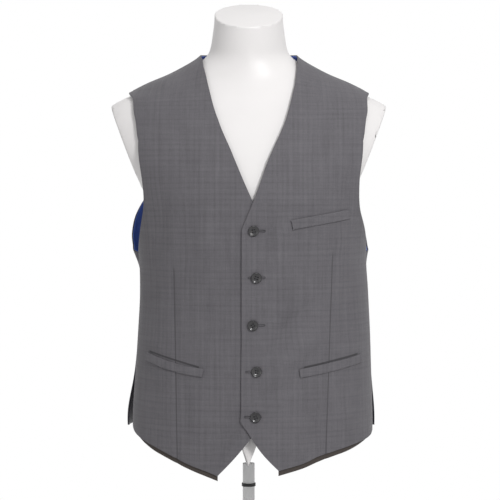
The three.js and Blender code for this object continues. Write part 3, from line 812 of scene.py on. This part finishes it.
def moulded_material(name, dark, light, roughness, grain=900.0, strength=0.06, **principled):
    """Smooth moulded or painted stuff with a faint unevenness and some dust in its gloss."""
    material, shader, surface = new_material(name, roughness, **principled)
    place, _ = object_place(shader)
    cloud = shader.noise(place, 14.0, 3.0)
    speck = shader.noise(place, grain, 2.0)
    shader.put(surface.inputs["Base Color"], shader.mix(cloud, dark, light))
    rough = shader.ramp(cloud, 0.3, 0.7, roughness, roughness + 0.08)
    shader.put(surface.inputs["Roughness"], rough)
    bump = {"Height": speck, "Strength": strength, "Distance": 0.0002}
    shader.put(surface.inputs["Normal"], shader.node("ShaderNodeBump", bump).outputs[0])
    return material


def horn_material():
    material, shader, surface = new_material("polished horn", 0.22, coat_weight=0.4)
    place, _ = object_place(shader)
    marble = shader.noise(shader.stretch(place, (160, 160, 60)), 1.0, 4.0, 0.65)
    share = shader.ramp(marble, 0.52, 0.78)
    colour = shader.mix(share, (0.012, 0.011, 0.013, 1), (0.075, 0.066, 0.062, 1))
    shader.put(surface.inputs["Base Color"], colour)
    fine = shader.noise(place, 1200.0, 2.0)
    shader.put(surface.inputs["Roughness"], shader.ramp(fine, 0.3, 0.7, 0.2, 0.34))
    bump = {"Height": marble, "Strength": 0.08, "Distance": 0.0003}
    shader.put(surface.inputs["Normal"], shader.node("ShaderNodeBump", bump).outputs[0])
    return material


# ---------------------------------------------------------------- the form


def build_form():
    stretches = [np.linspace(low, high, count, endpoint=False) for low, high, count in FORM_RINGS]
    rings = np.append(np.concatenate(stretches), FORM_RINGS[-1][1])
    bm = bmesh.new()
    bmesh.ops.create_grid(bm, x_segments=FORM_ROUND, y_segments=len(rings) - 1, size=0.5)
    for vert in bm.verts:
        turn = 2 * math.pi * (vert.co.x + 0.5)
        height = rings[round((vert.co.y + 0.5) * (len(rings) - 1))]
        row = {name: float(column_at(FORM, name, height)) for name in FORM_COLUMNS[1:]}
        depth = row["front"] if math.cos(turn) > 0 else row["back"]
        angle = math.degrees(math.atan2(row["half"] * math.sin(turn), depth * math.cos(turn)))
        x, y = section_point(row["half"], row["front"], row["back"], row["power"], angle)
        vert.co = (float(x) * MM, float(y) * MM, lifted(height))
    bmesh.ops.remove_doubles(bm, verts=bm.verts, dist=0.00005)
    bmesh.ops.holes_fill(bm, edges=[e for e in bm.edges if e.is_boundary], sides=0)
    bmesh.ops.recalc_face_normals(bm, faces=bm.faces)
    lean = math.radians(NECK_CAP_LEAN)
    cuts = [(Vector((0, 0, lifted(NECK_CAP_HEIGHT))), Vector((0, -math.sin(lean), math.cos(lean))))]
    lean = math.radians(ARM_CAP_LEAN)
    for side in (-1, 1):
        point = Vector((side * ARM_CAP_HALF * MM, 0, lifted(ARM_CAP_HEIGHT)))
        cuts.append((point, Vector((side * math.cos(lean), 0, -math.sin(lean)))))
    for point, normal in cuts:
        everything = bm.verts[:] + bm.edges[:] + bm.faces[:]
        cut = bmesh.ops.bisect_plane(
            bm, geom=everything, plane_co=point, plane_no=normal, clear_outer=True
        )
        edges = [e for e in cut["geom_cut"] if isinstance(e, bmesh.types.BMEdge)]
        bmesh.ops.holes_fill(bm, edges=edges, sides=0)
    bmesh.ops.recalc_face_normals(bm, faces=bm.faces)
    rims = list({e for face in bm.faces if len(face.verts) > 8 for e in face.edges})
    bmesh.ops.bevel(
        bm, geom=rims, offset=FORM_RIM * MM, affect="EDGES", segments=3, profile=0.5, material=-1
    )
    form = add_object("form_shell", bm)
    form.data.set_sharp_from_angle(angle=FORM_SHARP)
    return form


# ---------------------------------------------------------------- the waistcoat

WELTS = {
    "chest_welt": (62, 388, 146, 402.5, 13.5, 0.0),
    "pocket_welt_left": (74, 173, 165, 190, 12.5, 1.0),
    "pocket_welt_right": (-67, 174, -149, 193.5, 12, 3.0),
}
WELT_GAP = 0.7
WELT_LIFT = CLOTH + WELT_GAP
BUTTONS = [(7, 386.5), (11, 319), (6, 250), (11, 182), (10, 117)]
BUTTON_LIFT = CLOTH + 0.9
BUTTON_TURNS = (12, -20, 35, -8, 22)  # how each has turned on its thread, in degrees
BUTTON_HOLE_RADIUS = 0.95
BUTTON_HOLE_REACH = 2.4  # from the button's middle to each hole's
STITCH_REACH = 1.7  # from the button's middle to each stitch, across and along
STITCH_RADIUS = 0.32
STRAND_OFFSETS = (-0.28, 0.28)
STITCH_BASE = 1.3  # above the button's back
STITCH_FLATNESS = 0.62

BUTTONHOLE_SHIFTS = (4.5, 0.5, 5.0, -3.5, -3.5)  # from each button towards the wearer's left
BUTTONHOLE_HALF_LENGTH = 11.0
BUTTONHOLE_HALF_WIDTH = 1.3
BUTTONHOLE_CORD = 0.45
BUTTONHOLE_LIFT = CLOTH + 0.15
HANG = 7.5
FACING_TAPER = 0.6


def build_welt(name, x1, z1, x2, z2, tall, sag):
    """A strip from its lower edge up, whose middle sags a little."""
    columns, rows = 64, 9
    along = np.array([x2 - x1, z2 - z1], float)
    up = np.array([-along[1], along[0]]) * math.copysign(1, along[0]) / np.linalg.norm(along)
    share, rise = np.meshgrid(np.linspace(0, 1, columns), np.linspace(0, tall, rows))
    x = x1 + along[0] * share + up[0] * rise
    z = z1 + along[1] * share + up[1] * rise - sag * np.sin(np.pi * share)
    angle = np.vectorize(angle_of)(x, z)
    crown = 0.5 * np.sin(np.pi * rise / tall) + 0.35 * smoothstep(rise, 0.55 * tall, tall)
    lift = WELT_LIFT + crown
    if x1 > 0:
        lift = lift + lap_lift(angle, z)
    return drape_sheet(name, angle, z, lift, WELT, outwards=x1 > 0)


def build_facing(name, angle, z, outwards, lapped):
    """The band inside a front's hem, which hangs a little below it."""
    rows = FINE + 1
    share = np.linspace(0, 1, angle.shape[1])
    hang = 0.4 + (HANG - 0.4) * (1 - smoothstep(share, FACING_TAPER, 1))
    shown = np.linspace(1, 0, 6)[:-1, None]
    grid_angle = np.vstack([np.repeat(angle[:1], 5, axis=0), angle[:rows]])
    grid_z = np.vstack([z[:1] - shown * hang, z[:rows]])
    lift = -FACING - 0.35
    if lapped:
        lift = lift + lap_lift(grid_angle, grid_z)
    return drape_sheet(name, grid_angle, grid_z, lift, FACING, outwards)


def plain_button():
    """A dished button with four holes, its back at the origin and its face towards +Z."""
    r, t = BUTTON_RADIUS, BUTTON_THICKNESS
    profile = [
        (0, 0), (r - 1.6, 0), (r - 0.5, 0.35), (r, 1.2), (r, 1.9), (r - 0.35, t - 0.35),
        (r - 0.9, t), (r - 1.5, t - 0.08), (r - 2.2, t - 0.7), (r - 3.4, t - 1.15), (0, t - 1.25),
    ]
    bm = bmesh.new()
    verts = [bm.verts.new((x * MM, 0, z * MM)) for x, z in profile]
    edges = [bm.edges.new(pair) for pair in zip(verts, verts[1:])]
    bmesh.ops.spin(
        bm, geom=verts + edges, axis=(0, 0, 1), cent=(0, 0, 0), steps=48,
        angle=2 * math.pi, use_merge=True,
    )
    bmesh.ops.remove_doubles(bm, verts=bm.verts, dist=0.00001)
    bmesh.ops.recalc_face_normals(bm, faces=bm.faces)
    button = add_object("button_blank", bm)
    drill = bmesh.new()
    for quarter in range(4):
        turn = math.radians(45 + 90 * quarter)
        reach, radius = BUTTON_HOLE_REACH * MM, BUTTON_HOLE_RADIUS * MM
        place = Matrix.Translation((reach * math.cos(turn), reach * math.sin(turn), 0))
        bmesh.ops.create_cone(
            drill, segments=14, radius1=radius, radius2=radius, depth=12 * MM,
            cap_ends=True, matrix=place,
        )
    tool = add_object("button_drill", drill)
    cut = button.modifiers.new("holes", "BOOLEAN")
    cut.object = tool
    cut.solver = "EXACT"
    bpy.context.view_layer.update()
    finished = bpy.data.meshes.new_from_object(
        button.evaluated_get(bpy.context.evaluated_depsgraph_get())
    )
    finished.set_sharp_from_angle(angle=math.radians(40))
    for spare in (button, tool):
        bpy.data.objects.remove(spare)
    return finished


def thread_bars(bm, place):
    """Two doubled stitches across a button's holes."""
    seat = Matrix.Translation((0, 0, STITCH_BASE * MM))
    seat = place @ seat @ Matrix.Scale(STITCH_FLATNESS, 4, (0, 0, 1))
    for side in (-1, 1):
        across = side * STITCH_REACH
        for strand in STRAND_OFFSETS:
            radius = STITCH_RADIUS * MM
            ring = bmesh.ops.create_circle(bm, segments=8, radius=radius, cap_ends=False)["verts"]
            centre = Matrix.Translation((-STITCH_REACH * MM, (across + strand) * MM, 0))
            bmesh.ops.transform(bm, matrix=centre, verts=ring)
            edges = list({e for v in ring for e in v.link_edges})
            bmesh.ops.spin(
                bm, geom=ring + edges, axis=(0, 1, 0), cent=(0, across * MM, 0), steps=8,
                angle=math.pi,
            )
            made = [v for v in bm.verts if not v.tag]
            bmesh.ops.transform(bm, matrix=seat, verts=made)
            for v in made:
                v.tag = True


def panel_place(x, z, lift, turn=0.0):
    """Where a flat thing lies on the left front: its matrix, with +Z out of the cloth."""
    angle = np.array(angle_of(x, z))
    height = np.array(float(z))
    out = Vector(drape_normal(angle, height))
    point = Vector(drape_point(angle, height, lift + float(lap_lift(angle, height)))) * MM
    point.z += FORM_BASE * MM
    side = Vector((1, 0, 0))
    side = (side - out * side.dot(out)).normalized()
    frame_matrix = Matrix((side, out.cross(side), out)).transposed().to_4x4()
    return Matrix.Translation(point) @ frame_matrix @ Matrix.Rotation(math.radians(turn), 4, "Z")


def build_button(number, x, z, blank, horn, thread):
    name = f"button_{number}"
    place = panel_place(x, z, BUTTON_LIFT, BUTTON_TURNS[number - 1])
    bm = bmesh.new()
    bm.from_mesh(blank)
    bmesh.ops.transform(bm, matrix=place, verts=bm.verts)
    button = add_object(name + "_horn", bm)
    button.data.set_sharp_from_angle(angle=math.radians(40))
    button.data.materials.append(horn)
    bm = bmesh.new()
    thread_bars(bm, place)
    stitches = add_object(name + "_thread", bm)
    stitches.data.materials.append(thread)
    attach(button, "root")
    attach(stitches, "root")
    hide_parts(name)


MIDDLE = 1e-6  # closer than this to the middle of a buttonhole is on it, in metres


def build_buttonhole(number, x, z, thread):
    """A corded slot: a long ring of close stitches lying on the cloth."""
    place = panel_place(x, z, BUTTONHOLE_LIFT)
    bm = bmesh.new()
    radius = BUTTONHOLE_CORD * MM
    section = bmesh.ops.create_circle(bm, segments=8, radius=radius, cap_ends=False)["verts"]
    stand = Matrix.Translation((0, BUTTONHOLE_HALF_WIDTH * MM, 0)) @ Matrix.Rotation(math.pi / 2, 4, "Y")
    bmesh.ops.transform(bm, matrix=stand, verts=section)
    edges = list({e for v in section for e in v.link_edges})
    bmesh.ops.spin(
        bm, geom=section + edges, axis=(0, 0, 1), cent=(0, 0, 0), steps=40,
        angle=2 * math.pi, use_merge=True,
    )
    bmesh.ops.remove_doubles(bm, verts=bm.verts, dist=0.00001)
    for vert in bm.verts:
        if abs(vert.co.x) > MIDDLE:
            vert.co.x += math.copysign(BUTTONHOLE_HALF_LENGTH * MM, vert.co.x)
    bmesh.ops.recalc_face_normals(bm, faces=bm.faces)
    bmesh.ops.transform(bm, matrix=place, verts=bm.verts)
    hole = add_object(f"buttonhole_{number}", bm)
    hole.data.materials.append(thread)
    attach(hole, "root")


def dress(obj, node, slot, material, flat, area, rests_on):
    obj.data.materials.append(material)
    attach(obj, "root")
    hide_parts(node)


form = build_form()
form.data.materials.append(
    moulded_material("white moulded shell", (0.80, 0.78, 0.775, 1), (0.86, 0.84, 0.835, 1), 0.38)
)
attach(form, "root")
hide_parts("form_torso")

wool_left = wool_material(
    "grey worsted, left front", [DARTS["left"]], [POCKET_MOUTHS["left"]]
)
wool_right = wool_material(
    "grey worsted, right front, painted darker", [DARTS["right"]], [POCKET_MOUTHS["right"]], RIGHT_FRONT_PAINTED_SHADE
)
wool_welt = wool_material("grey worsted, welts")
back_twill = satin_material(
    "dark back twill", (0.010, 0.009, 0.016, 1), (0.032, 0.028, 0.046, 1), 0.42, 420.0, 0.15
)
# Below 60 mm over the vents' tops the lining is painted near black, as painted shade where it lies in
# the back's shadow.
blue_satin = satin_material(
    "blue satin lining", (0.045, 0.095, 0.40, 1), (0.12, 0.21, 0.66, 1), 0.3, 520.0,
    lining_painted_shade=(VENT_TOP + 60, (0.016, 0.014, 0.022, 1)),
)
# The hem facings are coloured dark brown as painted shade on the shaded underside of each front's turned
# hem.
facing_painted_shade = satin_material(
    "hem facing, dark brown painted shade", (0.036, 0.029, 0.026, 1), (0.072, 0.06, 0.052, 1), 0.8, 380.0
)
horn = horn_material()
button_thread = satin_material(
    "dark button thread", (0.010, 0.010, 0.012, 1), (0.03, 0.03, 0.034, 1), 0.7, 900.0
)
hole_thread = moulded_material(
    "grey buttonhole thread", (0.045, 0.043, 0.048, 1), (0.08, 0.077, 0.084, 1), 0.8, 2500.0, 0.5
)

left_angle, left_z = left_front_grid()
right_angle, right_z = right_front_grid()
front_left = drape_sheet(
    "front_left_wool", left_angle, left_z, lap_lift(left_angle, left_z), CLOTH, outwards=True
)
front_right = drape_sheet("front_right_wool", right_angle, right_z, 0.0, CLOTH, outwards=False)
dress(front_left, "front_left", "wool", wool_left, (0.30, 0.64), 0.122, ["form_shell"])
dress(front_right, "front_right", "wool", wool_right, (0.32, 0.65), 0.124, ["form_shell"])

FACING_CUT, FACING_AREA = (0.19, 0.035), 0.0043
BACK_CUT, BACK_AREA, BACK_LINING_AREA = (0.27, 0.57), 0.115, 0.114
facing_left = build_facing("hem_facing_left_band", left_angle, left_z, True, True)
facing_right = build_facing("hem_facing_right_band", right_angle, right_z, False, False)
# Each band carries that dark brown painted shade.
for facing, side in ((facing_left, "left"), (facing_right, "right")):
    inside = [f"front_{side}_wool"]
    dress(facing, f"hem_facing_{side}", "facing", facing_painted_shade, FACING_CUT, FACING_AREA, inside)

for name, row in WELTS.items():
    welt = build_welt(name + "_strip", *row)
    under = "front_left_wool" if row[0] > 0 else "front_right_wool"
    length = math.hypot(row[2] - row[0], row[3] - row[1]) * 1.08
    dress(welt, name, "wool", wool_welt, (length * MM, row[4] * MM), None, [under])

for name, side in (("left", 1), ("right", -1)):
    angle, z = back_grid(side)
    outwards = side < 0
    back = drape_sheet(f"back_{name}_twill", angle, z, BACK_LIFT, BACK_CLOTH, outwards)
    lining = drape_sheet(f"back_lining_{name}_satin", angle, z, 0.0, LINING, outwards)
    dress(back, f"back_{name}", "back_cloth", back_twill, BACK_CUT, BACK_AREA, [lining.name])
    lining_cut = (BACK_CUT, BACK_LINING_AREA, ["form_shell"])
    dress(lining, f"back_lining_{name}", "lining", blue_satin, *lining_cut)

blank = plain_button()
for number, (x, z) in enumerate(BUTTONS, start=1):
    build_button(number, x, z, blank, horn, button_thread)
    build_buttonhole(number, x + BUTTONHOLE_SHIFTS[number - 1], z, hole_thread)
bpy.data.meshes.remove(blank)

# ---------------------------------------------------------------- the stand

stand_paint = moulded_material(
    "white stand paint", (0.80, 0.80, 0.80, 1), (0.86, 0.86, 0.86, 1), 0.35, 700.0, 0.12
)
black_plastic = moulded_material(
    "black collar plastic", (0.006, 0.006, 0.007, 1), (0.014, 0.014, 0.015, 1), 0.5, 1500.0, 0.2
)
for node, material in (
    ("stand_plate", stand_paint),
    ("stand_pole", stand_paint),
    ("stand_collar", black_plastic),
):
    carried = bpy.data.objects[node]
    carried.data.materials.clear()
    carried.data.materials.append(material)

# ---------------------------------------------------------------- floor, light and background

LIT_FLOOR = (0.30, 0.58)  # where the floor's shadow side fades into the white background


def background_material():
    material = bpy.data.materials.new("pale floor")
    material.use_nodes = True
    shader = Shader(material.node_tree)
    shader.tree.nodes.remove(shader.tree.nodes["Principled BSDF"])
    place = shader.node("ShaderNodeTexCoord").outputs["Object"]
    distance = shader.node("ShaderNodeVectorMath", {0: place}, operation="LENGTH").outputs["Value"]
    rays = shader.node("ShaderNodeLightPath").outputs
    eye = shader.math("MAXIMUM", rays["Is Camera Ray"], rays["Is Glossy Ray"])
    share = shader.math("MULTIPLY", eye, shader.ramp(distance, *LIT_FLOOR))
    matte = shader.node("ShaderNodeBsdfDiffuse", {"Color": (0.86, 0.86, 0.86, 1)}).outputs[0]
    white = shader.node("ShaderNodeEmission", {"Strength": 1.0}).outputs[0]
    mixed = shader.node("ShaderNodeMixShader", {0: share, 1: matte, 2: white})
    shader.put(shader.tree.nodes["Material Output"].inputs["Surface"], mixed.outputs[0])
    return material


bm = bmesh.new()
bmesh.ops.create_circle(bm, segments=96, radius=12, cap_ends=True)
floor = add_object("floor", bm, smooth=False)
floor.data.materials.append(background_material())

AMBIENT = 0.38
world = bpy.data.worlds.new("studio")
bpy.context.scene.world = world
world.use_nodes = True
sky = Shader(world.node_tree)
rays = sky.node("ShaderNodeLightPath").outputs
plain_view = sky.math("MAXIMUM", rays["Is Camera Ray"], rays["Is Glossy Ray"])
plain_view = sky.math("MAXIMUM", plain_view, rays["Is Transmission Ray"])
strength = sky.math("MULTIPLY_ADD", plain_view, 1 - AMBIENT, AMBIENT)
sky.put(world.node_tree.nodes["Background"].inputs["Color"], (1, 1, 1, 1))
sky.put(world.node_tree.nodes["Background"].inputs["Strength"], strength)


def add_lamp(name, place, target, size, power):
    lamp = bpy.data.objects.new(name, bpy.data.lights.new(name, "AREA"))
    bpy.context.scene.collection.objects.link(lamp)
    lamp.data.shape = "DISK"
    lamp.data.size = size
    lamp.data.energy = power
    lamp.location = place
    lamp.rotation_euler = (Vector(target) - Vector(place)).to_track_quat("-Z", "Y").to_euler()


CHEST = (0, 0, lifted(400))
add_lamp("key_lamp", (1.2, -2.6, 2.0), CHEST, 0.7, 48)
add_lamp("fill_lamp", (-1.9, -2.2, 1.3), CHEST, 1.6, 5)
add_lamp("top_lamp", (0.2, -0.3, 2.9), CHEST, 1.2, 12)
